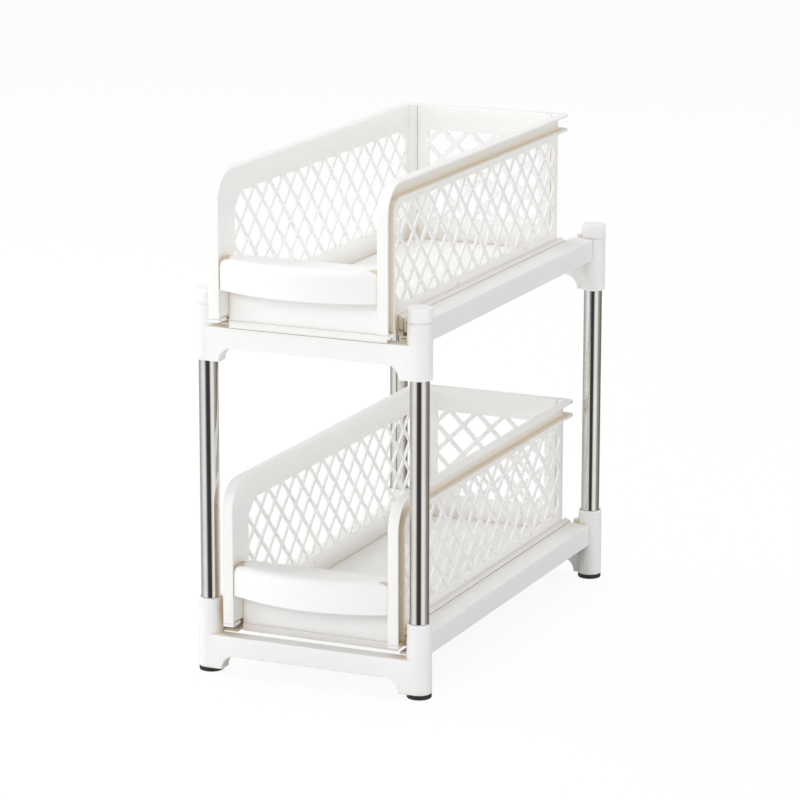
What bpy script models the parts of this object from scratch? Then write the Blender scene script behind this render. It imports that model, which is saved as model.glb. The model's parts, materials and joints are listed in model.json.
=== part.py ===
"""Slim two-tier pull-out storage rack.

Two open shelves of moulded plastic stand on four steel poles. Each shelf carries a lattice
basket that slides out on its two side rails. Units are metres, +Z is up and -Y is the front,
towards which the baskets pull out.
"""

import math

import bmesh
import bpy
from mathutils import Matrix, Vector

# Layout of the two shelves and the four poles
pole_spacing_y = 0.381
pole_inset = 0.003
shelf_pitch = 0.2595

# Poles
pole_radius = 0.008
pole_wall = 0.0008

# Fits between pieces
seat_gap = 0.0003
pole_fit = 0.0003
slide_side_gap = 0.0007

# Working values for cuts and merges
overrun = 0.001
merge_distance = 0.00001
grid_digits = 6

# Rubber feet
foot_height = 0.0038
foot_inset = 0.00015
foot_chamfer = 0.0009
foot_peg_radius = 0.0037
foot_peg_length = 0.006

# Sockets that take the poles, moulded in one with the beams
socket_wall = 0.00205
socket_ring_step = 0.00025
socket_edge_radius = 0.0012
socket_floor = 0.01
socket_roof = 0.0046

# Caps on the upper sockets
cap_height = 0.0122
cap_edge_radius = 0.0026
cap_peg_radius = 0.0047
cap_peg_length = 0.0085

# Beams across the front and the back of each shelf
beam_top = 0.028
beam_reach = 0.009
beam_depth = 0.014
beam_wall = 0.002
arch_height = 0.012
arch_foot_gap = 0.00365

# Tenons on the sockets that carry the side rails
tenon_length = 0.012
tenon_width = 0.0085

# Side rails, open channels that face the basket
rail_width = 0.02
rail_height = 0.0186
rail_wall = 0.002
rail_slot_height = 0.005
rail_ledge_reach = 0.0035
rail_end_setback = 0.0072

# Stops between the rails and the runners of the floor
slide_travel = 0.25
stop_side_gap = 0.001
stop_depth = 0.002
stop_width = 0.0037
stop_lift = 0.0005
stop_nib_depth = 0.004
stop_nib_height = 0.0057

# Baskets
basket_inner_half_width = 0.07
basket_wall = 0.002
basket_depth = 0.1202
basket_back_setback = 0.0081
closed_setback = 0.0006
upper_pull_out = 0.0204

# Rims that stand out round each side and back panel
rim_outreach = 0.0084
rim_back_reach = 0.006
rim_thickness = 0.002
rim_step = 0.0125
rim_corner_radius = 0.025
strip_lift = 0.0016
back_corner_radius = 0.005
rim_back_corner_radius = 0.008
return_width = 0.0065

# Lattice in the side panels, with the margins that it keeps to the panel's edges
side_window_front = 0.025
side_window_back_margin = 0.0047
side_window_low_margin = 0.018
side_window_top_margin = 0.0167
side_cells_along = 13
side_cells_up = 3
side_rib = 0.003

# Lattice in the back panel
back_window_side_margin = 0.0092
back_window_low_margin = 0.0195
back_window_top_margin = 0.0197
back_cells_across = 4
back_cells_up = 3
back_rib = 0.0036

# Snap windows in the bottom band of the side panels
snap_width = 0.003
snap_height = 0.0018
snap_lift = 0.0112
snap_inset = 0.095
snap_spacing = 0.16
snap_count = 2

# Floor tray with its rim, skirt and runners, and the groove that the panels stand in
floor_depth = 0.0077
groove_depth = 0.0008
floor_thickness = 0.002
floor_rim_width = 0.0035
floor_skirt = 0.0018
floor_lip_height = 0.004
runner_reach = 0.0062
runner_thickness = 0.002

# Front panel with its hooded handle
front_panel_setback = 0.02
front_panel_height = 0.055
handle_rise = 0.0013
handle_height = 0.027
handle_end_setback = 0.0047
handle_bow = 0.0197
handle_wall = 0.0025
handle_edge_radius = 0.007
handle_edge_segments = 3
handle_arc_points = 13

# Counts for round pieces, and the angles in degrees that part flat faces and sharp edges
round_sides = 20
edge_steps = 3
corner_steps = 5
flat_angle = 0.2
sharp_angle = 30
round_profile_share = 0.5

# Colours and surfaces
plastic_color = (0.86, 0.855, 0.84, 1.0)
steel_color = (0.62, 0.61, 0.60, 1.0)
rubber_color = (0.02, 0.02, 0.02, 1.0)
plastic_roughness = 0.35
steel_roughness = 0.18
rubber_roughness = 0.6


# Heights above the underside of a shelf
rail_bottom = beam_top
rail_top = rail_bottom + rail_height
rail_floor_top = rail_bottom + rail_wall
rail_roof_bottom = rail_top - rail_wall
rail_lip_bottom = rail_floor_top + rail_slot_height
socket_ring_height = rail_top
socket_length = socket_ring_height + cap_height
floor_bottom = rail_floor_top + seat_gap
floor_top = floor_bottom + floor_depth
floor_plate_bottom = floor_top - floor_thickness
floor_rim_top = rail_top
floor_lip_top = floor_bottom + floor_lip_height
runner_top = floor_bottom + runner_thickness
groove_bottom = floor_top - groove_depth
panel_seat = groove_bottom + seat_gap
strip_bottom = floor_top + strip_lift
basket_rim_top = floor_top + basket_depth
snap_bottom = floor_top + snap_lift
front_panel_bottom = floor_lip_top + seat_gap
front_panel_top = front_panel_bottom + front_panel_height
handle_top = front_panel_top + handle_rise
handle_bottom = handle_top - handle_height
lower_shelf_z = foot_height
upper_shelf_z = foot_height + shelf_pitch

# Distances from the middle plane of the rack
basket_wall_outer = basket_inner_half_width + basket_wall
rim_outer_x = basket_inner_half_width + rim_outreach
return_inner_x = basket_inner_half_width - return_width
floor_rim_inner = basket_wall_outer + seat_gap
floor_rim_outer = floor_rim_inner + floor_rim_width
runner_outer = floor_rim_outer + runner_reach
rail_inner_x = floor_rim_outer + slide_side_gap
rail_outer_x = rail_inner_x + rail_width
rail_web_inner = rail_outer_x - rail_wall
stop_inner_x = rail_inner_x + rail_wall + stop_side_gap
pole_x = rail_outer_x - pole_inset
bore_radius = pole_radius + pole_fit
socket_radius = bore_radius + socket_wall
foot_radius = socket_radius - foot_inset
socket_inner_x = pole_x - socket_radius
arch_foot_x = socket_inner_x - arch_foot_gap
arch_top_x = arch_foot_x - arch_height

# Places along the rack, from its middle
pole_y = pole_spacing_y / 2
beam_outer_y = pole_y + beam_reach
beam_inner_y = beam_outer_y - beam_depth
rail_end_y = pole_y - rail_end_setback
closed_y = -beam_outer_y + closed_setback
lower_basket_y = closed_y
upper_basket_y = closed_y - upper_pull_out

# Places along a basket, from its front edge
front_panel_back = front_panel_setback + basket_wall
basket_back_inner_y = pole_y - basket_back_setback - closed_y
basket_back_outer_y = basket_back_inner_y + basket_wall
rim_back_y = basket_back_outer_y + rim_back_reach
runner_end_y = rail_end_y - stop_depth - seat_gap - closed_y
stop_nib_y = slide_travel - rail_end_y + stop_depth + seat_gap - closed_y
handle_front = handle_end_setback - handle_bow
frame_shift_y = -((upper_basket_y + handle_front) + (pole_y + socket_radius)) / 2

# Lattice windows and their cells
side_window_bottom = floor_top + side_window_low_margin
side_window_top = basket_rim_top - side_window_top_margin
side_window_back = basket_back_outer_y - side_window_back_margin
side_cell_y = (side_window_back - side_window_front) / side_cells_along
side_cell_z = (side_window_top - side_window_bottom) / side_cells_up
back_window_half = return_inner_x - seat_gap - back_window_side_margin
back_window_bottom = floor_top + back_window_low_margin
back_window_top = basket_rim_top - back_window_top_margin
back_cell_x = back_window_half * 2 / back_cells_across
back_cell_z = (back_window_top - back_window_bottom) / back_cells_up


def clear_scene():
    """Remove every object that is in the file."""
    for item in list(bpy.data.objects):
        bpy.data.objects.remove(item, do_unlink=True)


def make_collection(name):
    collection = bpy.data.collections.new(name)
    bpy.context.scene.collection.children.link(collection)
    return collection


def make_material(name, color, roughness, metallic):
    material = bpy.data.materials.new(name)
    material.use_nodes = True
    shader = material.node_tree.nodes["Principled BSDF"]
    shader.inputs["Base Color"].default_value = color
    shader.inputs["Roughness"].default_value = roughness
    shader.inputs["Metallic"].default_value = metallic
    material.diffuse_color = color
    return material


def add_object(name, data):
    item = bpy.data.objects.new(name, data)
    rack.objects.link(item)
    return item


def add_empty(name, location, parent=None):
    """Add an empty that carries the pieces of one sub-assembly."""
    empty = bpy.data.objects.new(name, None)
    guides.objects.link(empty)
    empty.empty_display_size = pole_radius
    empty.hide_render = True
    empty.location = location
    empty.parent = parent
    return empty


def evaluated_mesh(item):
    bpy.context.view_layer.update()
    evaluated = item.evaluated_get(bpy.context.evaluated_depsgraph_get())
    return bpy.data.meshes.new_from_object(evaluated)


def bake(item):
    """Replace a mesh object's data by its evaluated mesh, with no modifiers left."""
    mesh = evaluated_mesh(item)
    item.modifiers.clear()
    item.data = mesh
    return item


def combine(target, tool, operation):
    """Join a tool to the target, or cut it out, and remove the tool."""
    modifier = target.modifiers.new("combine", "BOOLEAN")
    modifier.operation = operation
    modifier.solver = "EXACT"
    modifier.object = tool
    bake(target)
    bpy.data.objects.remove(tool, do_unlink=True)
    return target


def join_all(target, tools):
    for tool in tools:
        combine(target, tool, "UNION")
    return target


def cut_all(target, tools):
    for tool in tools:
        combine(target, tool, "DIFFERENCE")
    return target


def store(build, mesh):
    build.to_mesh(mesh)
    build.free()


def align(build):
    """Move the corners of a flat-sided shape to a fine grid, so that faces meant to be flush are flush."""
    for vertex in build.verts:
        vertex.co = Vector([round(value, grid_digits) for value in vertex.co])


def make_box(low, high):
    """A box between two corners."""
    low = Vector(low)
    high = Vector(high)
    mesh = bpy.data.meshes.new("box")
    build = bmesh.new()
    bmesh.ops.create_cube(build, size=1.0)
    bmesh.ops.scale(build, vec=high - low, verts=build.verts)
    bmesh.ops.translate(build, vec=(low + high) / 2, verts=build.verts)
    align(build)
    store(build, mesh)
    return add_object("box", mesh)


def make_cylinder(radius, low, high, center=(0.0, 0.0)):
    """An upright cylinder from height low to height high."""
    mesh = bpy.data.meshes.new("cylinder")
    build = bmesh.new()
    bmesh.ops.create_cone(build, cap_ends=True, segments=round_sides,
                          radius1=radius, radius2=radius, depth=high - low)
    bmesh.ops.translate(build, vec=(center[0], center[1], (low + high) / 2), verts=build.verts)
    store(build, mesh)
    return add_object("cylinder", mesh)


def make_turned(profile, center=(0.0, 0.0), is_ring=False):
    """Turn (radius, height) points about an upright axis, with the outer side listed downwards.

    The profile starts and ends on the axis, or closes on itself where the piece is a ring.
    """
    mesh = bpy.data.meshes.new("turned")
    points = [(radius, 0.0, height) for radius, height in profile]
    edges = [(index, index + 1) for index in range(len(points) - 1)]
    if is_ring:
        edges.append((len(points) - 1, 0))
    mesh.from_pydata(points, edges, [])
    item = add_object("turned", mesh)
    screw = item.modifiers.new("turn", "SCREW")
    screw.steps = round_sides
    screw.render_steps = round_sides
    screw.use_merge_vertices = True
    screw.merge_threshold = merge_distance
    bake(item)
    build = bmesh.new()
    build.from_mesh(item.data)
    bmesh.ops.remove_doubles(build, verts=build.verts, dist=merge_distance)
    bmesh.ops.translate(build, vec=(center[0], center[1], 0.0), verts=build.verts)
    store(build, item.data)
    return item


def make_plate(outlines, low, high, facing):
    """Extrude flat outlines between two positions along the axis that they face.

    The points are (y, z) when the plate faces X, (x, z) when it faces Y and (x, y) when it
    faces Z.
    """
    curve = bpy.data.curves.new("plate", "CURVE")
    curve.dimensions = "2D"
    curve.fill_mode = "BOTH"
    curve.extrude = (high - low) / 2
    for outline in outlines:
        spline = curve.splines.new("POLY")
        spline.points.add(len(outline) - 1)
        for point, (across, up) in zip(spline.points, outline):
            point.co = (across, up, 0.0, 1.0)
        spline.use_cyclic_u = True
    item = add_object("plate", curve)
    middle = (low + high) / 2
    turns = {"X": Matrix(((0, 0, 1, middle), (1, 0, 0, 0), (0, 1, 0, 0), (0, 0, 0, 1))),
             "Y": Matrix(((1, 0, 0, 0), (0, 0, -1, middle), (0, 1, 0, 0), (0, 0, 0, 1))),
             "Z": Matrix.Translation((0, 0, middle))}
    mesh = evaluated_mesh(item)
    build = bmesh.new()
    build.from_mesh(mesh)
    bmesh.ops.remove_doubles(build, verts=build.verts, dist=merge_distance)
    bmesh.ops.recalc_face_normals(build, faces=build.faces)
    bmesh.ops.transform(build, matrix=turns[facing], verts=build.verts)
    align(build)
    store(build, mesh)
    solid = add_object("plate", mesh)
    bpy.data.objects.remove(item, do_unlink=True)
    return solid


def mirrored(item, axis):
    """Mirror a baked object's mesh about the origin across X or Y."""
    index = "XY".index(axis)
    for vertex in item.data.vertices:
        vertex.co[index] = -vertex.co[index]
    item.data.flip_normals()
    return item


def arc(center, radius, start, end, steps):
    """Points on an arc, with its angles in degrees."""
    angles = [math.radians(start + (end - start) * step / steps) for step in range(steps + 1)]
    return [(center[0] + radius * math.cos(a), center[1] + radius * math.sin(a)) for a in angles]


def merge_flat_faces(mesh):
    """Merge neighbouring faces that lie in one plane, and drop the points along their straight edges."""
    build = bmesh.new()
    build.from_mesh(mesh)
    bmesh.ops.dissolve_limit(build, angle_limit=math.radians(flat_angle), use_dissolve_boundaries=False,
                             verts=build.verts, edges=build.edges)
    bmesh.ops.triangulate(build, faces=build.faces)
    store(build, mesh)


def finish(item, name, material, parent, location=(0.0, 0.0, 0.0)):
    """Name a piece, give it its material and shading, and hang it on its sub-assembly."""
    merge_flat_faces(item.data)
    item.name = name
    item.data.name = name
    item.data.materials.clear()
    item.data.materials.append(material)
    item.parent = parent
    item.location = location
    item.data.shade_smooth()
    item.data.set_sharp_from_angle(angle=math.radians(sharp_angle))
    return item


def make_pole():
    """A thin steel tube, open at both ends."""
    bottom = lower_shelf_z + socket_floor + seat_gap
    top = upper_shelf_z + socket_ring_height - socket_roof - seat_gap
    tube = make_cylinder(pole_radius, bottom, top)
    inside = make_cylinder(pole_radius - pole_wall, bottom - overrun, top + overrun)
    return cut_all(tube, [inside])


def make_foot():
    """A rubber disc with a chamfered lower edge and a peg that plugs into the socket."""
    peg_top = foot_height + foot_peg_length
    profile = [(0.0, peg_top), (foot_peg_radius, peg_top), (foot_peg_radius, foot_height - seat_gap),
               (foot_radius, foot_height - seat_gap), (foot_radius, foot_chamfer),
               (foot_radius - foot_chamfer, 0.0), (0.0, 0.0)]
    return make_turned(profile)


def make_cap():
    """A round-edged lid with a peg that plugs through the socket's roof."""
    top = socket_length
    bottom = socket_ring_height + seat_gap
    edge = arc((socket_radius - cap_edge_radius, top - cap_edge_radius), cap_edge_radius, 90, 0, edge_steps)
    profile = [(0.0, top)] + edge
    profile += [(socket_radius, bottom), (cap_peg_radius, bottom),
                (cap_peg_radius, bottom - cap_peg_length), (0.0, bottom - cap_peg_length)]
    return make_turned(profile)


def make_socket(level, x, y):
    """A socket with its pole's bore, and a hole for its cap or its foot.

    Upper ones are closed by a roof with the hole for the cap's peg. Lower ones have a ring
    line, an open mouth with a rounded edge, and a floor with the hole for the foot's peg.
    """
    if level == "upper":
        cap_hole = cap_peg_radius + seat_gap
        roof_bottom = socket_ring_height - socket_roof
        profile = [(cap_hole, socket_ring_height), (socket_radius, socket_ring_height), (socket_radius, 0.0),
                   (bore_radius, 0.0), (bore_radius, roof_bottom), (cap_hole, roof_bottom)]
        return make_turned(profile, (x, y), is_ring=True)
    foot_hole = foot_peg_radius + seat_gap
    foot_hole_top = foot_peg_length + seat_gap
    mouth_radius = socket_radius - socket_ring_step
    mouth_edge = (mouth_radius - socket_edge_radius, socket_length - socket_edge_radius)
    profile = [(0.0, socket_floor), (bore_radius, socket_floor), (bore_radius, socket_length)]
    profile += arc(mouth_edge, socket_edge_radius, 90, 0, edge_steps)
    profile += [(mouth_radius, socket_ring_height), (socket_radius, socket_ring_height), (socket_radius, 0.0),
                (foot_hole, 0.0), (foot_hole, foot_hole_top), (0.0, foot_hole_top)]
    return make_turned(profile, (x, y))


def make_beam():
    """The front beam, an arch between the sockets that is open underneath."""
    left_arch = arc((-arch_top_x, 0.0), arch_height, 180, 90, corner_steps)
    right_arch = arc((arch_top_x, 0.0), arch_height, 90, 0, corner_steps)
    end_x = pole_x - beam_wall
    outline = [(-end_x, beam_top), (-end_x, 0.0)] + left_arch + right_arch
    outline += [(end_x, 0.0), (end_x, beam_top)]
    beam = make_plate([outline], -beam_outer_y, -beam_inner_y, "Y")
    pocket_low = (-arch_top_x + beam_wall, -beam_outer_y + beam_wall, -overrun)
    pocket_high = (arch_top_x - beam_wall, -beam_inner_y - beam_wall, beam_top - beam_wall)
    return cut_all(beam, [make_box(pocket_low, pocket_high)])


def make_tenon(side):
    """A block on the socket that the end of a side rail slides over."""
    outer = rail_web_inner - seat_gap
    across = sorted((side * outer, side * (outer - tenon_width)))
    low = (across[0], -pole_y, rail_floor_top + seat_gap)
    high = (across[1], -pole_y + socket_radius + tenon_length, rail_roof_bottom - seat_gap)
    return make_box(low, high)


def make_end_frame(level, end):
    """One moulding with two sockets, the beam between them and the tenons for the rails."""
    frame = make_beam()
    join_all(frame, [make_tenon(side) for side in (-1, 1)])
    middle_radius = (socket_radius + bore_radius) / 2
    for side in (-1, 1):
        place = (side * pole_x, -pole_y)
        cut_all(frame, [make_cylinder(middle_radius, -overrun, socket_length, place)])
        join_all(frame, [make_socket(level, *place)])
    return mirrored(frame, "Y") if end == "rear" else frame


def make_rail(side):
    """A channel that opens towards the basket, with a lip over the runner and a stop at each end."""
    ledge_x = rail_inner_x - rail_ledge_reach
    lip_x = rail_inner_x + rail_wall
    outline = [(ledge_x, rail_bottom), (rail_outer_x, rail_bottom), (rail_outer_x, rail_top),
               (rail_inner_x, rail_top), (rail_inner_x, rail_lip_bottom), (lip_x, rail_lip_bottom),
               (lip_x, rail_roof_bottom), (rail_web_inner, rail_roof_bottom),
               (rail_web_inner, rail_floor_top), (ledge_x, rail_floor_top)]
    rail = make_plate([outline], -rail_end_y, rail_end_y, "Y")
    stop_outer_x = stop_inner_x + stop_width
    stop_top = rail_roof_bottom + rail_wall / 2
    front_stop = make_box((stop_inner_x, -rail_end_y, runner_top + stop_lift),
                          (stop_outer_x, -rail_end_y + stop_depth, stop_top))
    rear_stop = make_box((stop_inner_x, rail_end_y - stop_depth, rail_bottom + rail_wall / 2),
                         (stop_outer_x, rail_end_y, stop_top))
    join_all(rail, [front_stop, rear_stop])
    clearances = [make_cylinder(socket_radius + seat_gap, rail_bottom - overrun, rail_top + overrun,
                                (pole_x, end * pole_y)) for end in (-1, 1)]
    cut_all(rail, clearances)
    return mirrored(rail, "X") if side == "left" else rail


def diamond(center, half_across, half_up):
    """The four corners of one lattice hole."""
    across, up = center
    return [(across - half_across, up), (across, up - half_up),
            (across + half_across, up), (across, up + half_up)]


def clip(outline, index, limit, keep_below):
    """Trim a convex outline at a straight limit along one of its two directions."""
    kept = []
    sign = 1 if keep_below else -1
    for current, following in zip(outline, outline[1:] + outline[:1]):
        current_room = sign * (limit - current[index])
        following_room = sign * (limit - following[index])
        if current_room >= 0:
            kept.append(current)
        if current_room * following_room < 0:
            share = current_room / (current_room - following_room)
            kept.append(tuple(a + (b - a) * share for a, b in zip(current, following)))
    return kept


def lattice_holes(start, bottom, cell_across, cell_up, count_across, count_up, rib):
    """The holes between crossing diagonal ribs, clipped to their window."""
    slope = math.hypot(cell_across, cell_up)
    half_across = cell_across / 2 - rib * slope / (2 * cell_up)
    half_up = cell_up / 2 - rib * slope / (2 * cell_across)
    left = start + rib / 2
    right = start + count_across * cell_across - rib / 2
    low = bottom + rib / 2
    high = bottom + count_up * cell_up - rib / 2
    holes = []
    for row in range(2 * count_up + 1):
        for column in range(2 * count_across + 1):
            is_corner = row in (0, 2 * count_up) and column in (0, 2 * count_across)
            if (row + column) % 2 == 1 or is_corner:
                continue
            center = (start + column * cell_across / 2, bottom + row * cell_up / 2)
            hole = clip(clip(diamond(center, half_across, half_up), 0, left, False), 0, right, True)
            holes.append(clip(clip(hole, 1, low, False), 1, high, True))
    return holes


def make_side_panel(side):
    """One side of a basket: a lattice wall whose two rims follow its front and top edges."""
    top = basket_rim_top
    straight_end = basket_back_outer_y - basket_wall - back_corner_radius

    def edge_path(inset):
        radius = rim_corner_radius - inset
        bend = arc((rim_corner_radius, top - rim_corner_radius), radius, 180, 90, corner_steps)
        return [(inset, strip_bottom)] + bend + [(straight_end, top - inset)]

    outline = edge_path(0.0)
    outline += [(straight_end, panel_seat), (front_panel_back + seat_gap, panel_seat),
                (front_panel_back + seat_gap, strip_bottom)]
    holes = lattice_holes(side_window_front, side_window_bottom, side_cell_y, side_cell_z,
                          side_cells_along, side_cells_up, side_rib)
    for step in range(snap_count):
        start = snap_inset + step * snap_spacing
        holes.append([(start, snap_bottom), (start + snap_width, snap_bottom),
                      (start + snap_width, snap_bottom + snap_height), (start, snap_bottom + snap_height)])
    wall = make_plate([outline], basket_inner_half_width, basket_wall_outer, "X")

    rims = []
    for inset in (0.0, rim_step):
        band = edge_path(inset) + edge_path(inset + rim_thickness)[::-1]
        rims.append(make_plate([band], basket_wall_outer - basket_wall / 2, rim_outer_x, "X"))
    corner = make_plate([corner_outline(straight_end)], panel_seat, top, "Z")
    corner_rims = []
    for inset in (0.0, rim_step):
        height = top - inset
        plan = corner_rim_outline(straight_end)
        corner_rims.append(make_plate([plan], height - rim_thickness, height, "Z"))
    join_all(wall, [corner] + rims + corner_rims)
    cut_all(wall, [make_plate(holes, basket_inner_half_width - overrun, basket_wall_outer + overrun, "X")])
    return mirrored(wall, "X") if side == "left" else wall


def corner_outline(start):
    """Plan of the rounded rear corner of a side panel, with its return along the back."""
    center = (basket_inner_half_width - back_corner_radius, basket_back_inner_y - back_corner_radius)
    outer = arc(center, back_corner_radius + basket_wall, 0, 90, corner_steps)
    inner = arc(center, back_corner_radius, 90, 0, corner_steps)
    return ([(basket_wall_outer, start)] + outer + [(return_inner_x, basket_back_outer_y)]
            + [(return_inner_x, basket_back_inner_y)] + inner + [(basket_inner_half_width, start)])


def corner_rim_outline(start):
    """Plan of one rim where it turns the rear corner."""
    bend_center = (rim_outer_x - rim_back_corner_radius, rim_back_y - rim_back_corner_radius)
    bend = arc(bend_center, rim_back_corner_radius, 0, 90, corner_steps)
    middle = basket_back_outer_y - basket_wall / 2
    return ([(basket_wall_outer - basket_wall / 2, start), (rim_outer_x, start)] + bend
            + [(return_inner_x, rim_back_y), (return_inner_x, middle), (basket_inner_half_width, middle)])


def make_back_panel():
    """The back of a basket: a coarser lattice between the returns of the side panels."""
    half = return_inner_x - seat_gap
    outline = [(-half, panel_seat), (half, panel_seat), (half, basket_rim_top), (-half, basket_rim_top)]
    holes = lattice_holes(-back_window_half, back_window_bottom, back_cell_x, back_cell_z,
                          back_cells_across, back_cells_up, back_rib)
    wall = make_plate([outline], basket_back_inner_y, basket_back_outer_y, "Y")
    middle = basket_back_outer_y - basket_wall / 2
    rims = []
    for inset in (0.0, rim_step):
        height = basket_rim_top - inset
        rims.append(make_box((-half, middle, height - rim_thickness), (half, rim_back_y, height)))
    join_all(wall, rims)
    cutter = make_plate(holes, basket_back_inner_y - overrun, basket_back_outer_y + overrun, "Y")
    return cut_all(wall, [cutter])


def groove_outline():
    """Plan of the groove, which follows the walls inside and the floor's rim outside."""
    start = front_panel_back + seat_gap - overrun
    back = basket_back_outer_y + seat_gap
    half = basket_inner_half_width - seat_gap
    radius = back_corner_radius - seat_gap
    center_x = half - radius
    center_y = basket_back_inner_y - seat_gap - radius
    right = arc((center_x, center_y), radius, 0, 90, corner_steps)
    left = arc((-center_x, center_y), radius, 90, 180, corner_steps)
    return ([(half, start)] + right + left
            + [(-half, start), (-floor_rim_inner, start), (-floor_rim_inner, back)]
            + [(floor_rim_inner, back), (floor_rim_inner, start)])


def make_floor():
    """The floor tray: a plate with a rim outside the walls, a skirt, and a runner on each side."""
    back_inner = basket_back_outer_y + seat_gap
    back_outer = back_inner + floor_rim_width
    plate_front = front_panel_back + seat_gap
    skirt_top = floor_plate_bottom + floor_thickness / 2
    plate = make_box((-floor_rim_outer, plate_front, floor_plate_bottom),
                     (floor_rim_outer, back_outer, floor_top))
    pieces = [make_box((-floor_rim_outer, back_inner, floor_top - floor_thickness / 2),
                       (floor_rim_outer, back_outer, floor_rim_top))]
    pieces.append(make_box((-floor_rim_outer, front_panel_setback, floor_bottom),
                           (floor_rim_outer, plate_front + floor_skirt, floor_lip_top)))
    pieces.append(make_box((-floor_rim_outer, plate_front, floor_lip_top - floor_skirt),
                           (floor_rim_outer, plate_front + floor_skirt, skirt_top)))
    for side in (-1, 1):
        pieces += [
            side_box(side, floor_rim_inner, floor_rim_outer, plate_front, back_outer,
                     floor_top - floor_thickness / 2, floor_rim_top),
            side_box(side, floor_rim_outer - floor_skirt, floor_rim_outer, front_panel_setback, back_outer,
                     floor_bottom, skirt_top),
            side_box(side, floor_rim_outer - floor_skirt, runner_outer, front_panel_setback, runner_end_y,
                     floor_bottom, runner_top),
            side_box(side, stop_inner_x, runner_outer, stop_nib_y, stop_nib_y + stop_nib_depth,
                     floor_bottom, runner_top + stop_nib_height),
        ]
    join_all(plate, pieces)
    return cut_all(plate, [make_plate([groove_outline()], groove_bottom, floor_top + overrun, "Z")])


def side_box(side, inner, outer, front, back, bottom, top):
    """A box on one side of the basket, between two distances from its middle plane."""
    across = sorted((side * inner, side * outer))
    return make_box((across[0], front, bottom), (across[1], back, top))


def handle_outline(inset):
    """Plan of the handle's bowed hood, moved inwards by a wall."""
    half = basket_inner_half_width - seat_gap
    across = [-half + 2 * half * step / (handle_arc_points - 1) for step in range(handle_arc_points)]
    front = [(x * (half - inset) / half, handle_end_setback - handle_bow * (1 - (x / half) ** 2) + inset)
             for x in across]
    back = front_panel_setback + basket_wall / 2 if inset == 0.0 else front_panel_setback
    return front + [(half - inset, back), (-half + inset, back)]


def make_hood(inset, bottom, top, edge_radius):
    """The hood as a solid, with its top edge rounded except along the panel."""
    outline = handle_outline(inset)
    hood = make_plate([outline], bottom, top, "Z")
    back = max(y for _, y in outline)
    build = bmesh.new()
    build.from_mesh(hood.data)
    bmesh.ops.dissolve_limit(build, angle_limit=math.radians(flat_angle), verts=build.verts,
                             edges=build.edges)
    top_edges = [edge for edge in build.edges
                 if all(abs(v.co.z - top) < merge_distance for v in edge.verts)
                 and not all(abs(v.co.y - back) < merge_distance for v in edge.verts)]
    bmesh.ops.bevel(build, geom=top_edges, offset=edge_radius, segments=handle_edge_segments,
                    profile=round_profile_share, affect="EDGES", clamp_overlap=True)
    store(build, hood.data)
    return hood


def make_front_panel():
    """The low front of a basket, with the hooded handle that fingers reach under."""
    half = basket_inner_half_width - seat_gap
    panel = make_box((-half, front_panel_setback, front_panel_bottom),
                     (half, front_panel_back, front_panel_top))
    hood = make_hood(0.0, handle_bottom, handle_top, handle_edge_radius)
    hollow = make_hood(handle_wall, handle_bottom - overrun, handle_top - handle_wall,
                       handle_edge_radius - handle_wall)
    cut_all(hood, [hollow])
    return join_all(panel, [hood])


def build_stand():
    """Four poles on rubber feet, with a cap over each."""
    for x_side, x_name in ((-1, "left"), (1, "right")):
        for y_side, y_name in ((-1, "front"), (1, "rear")):
            place = (x_side * pole_x, y_side * pole_y, 0.0)
            corner = y_name + "_" + x_name
            finish(make_foot(), "foot_" + corner, rubber, origin, place)
            finish(make_pole(), "pole_" + corner, steel, origin, place)
            cap_place = (place[0], place[1], upper_shelf_z)
            finish(make_cap(), "cap_" + corner, plastic, origin, cap_place)


def build_shelf(level, height):
    """Two end frames and the two side rails between them."""
    shelf = add_empty(level + "_shelf", (0.0, 0.0, height), origin)
    for end in ("front", "rear"):
        finish(make_end_frame(level, end), level + "_" + end + "_frame", plastic, shelf)
    for side in ("left", "right"):
        finish(make_rail(side), level + "_" + side + "_rail", plastic, shelf)


def build_basket(level, y, height):
    """A floor tray, two side panels, a back panel and a front panel with its handle."""
    slide = add_empty(level + "_basket_slide", (0.0, y, height), origin)
    prefix = level + "_basket_"
    finish(make_floor(), prefix + "floor", plastic, slide)
    finish(make_side_panel("left"), prefix + "left_side", plastic, slide)
    finish(make_side_panel("right"), prefix + "right_side", plastic, slide)
    finish(make_back_panel(), prefix + "back", plastic, slide)
    finish(make_front_panel(), prefix + "front", plastic, slide)


clear_scene()
rack = make_collection("pull_out_storage_rack")
guides = make_collection("guides")
plastic = make_material("white_plastic", plastic_color, plastic_roughness, 0.0)
steel = make_material("polished_steel", steel_color, steel_roughness, 1.0)
rubber = make_material("black_rubber", rubber_color, rubber_roughness, 0.0)
origin = add_empty("rack_origin", (0.0, frame_shift_y, 0.0))
build_stand()
build_shelf("lower", lower_shelf_z)
build_shelf("upper", upper_shelf_z)
build_basket("lower", lower_basket_y, lower_shelf_z)
build_basket("upper", upper_basket_y, upper_shelf_z)
bpy.context.view_layer.update()
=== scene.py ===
"""Looks of the two-tier pull-out rack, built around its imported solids.

Moulded satin white plastic, polished steel tubes and black rubber feet on a pale studio floor.
Lengths are in metres. The baskets are modelled in their own frame: x = 0 is the middle plane,
y = 0 the front of the rims and z = 0 the underside of the shelf.
"""

import json
import math

import bmesh
import bpy
from mathutils import Matrix, Vector

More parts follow.
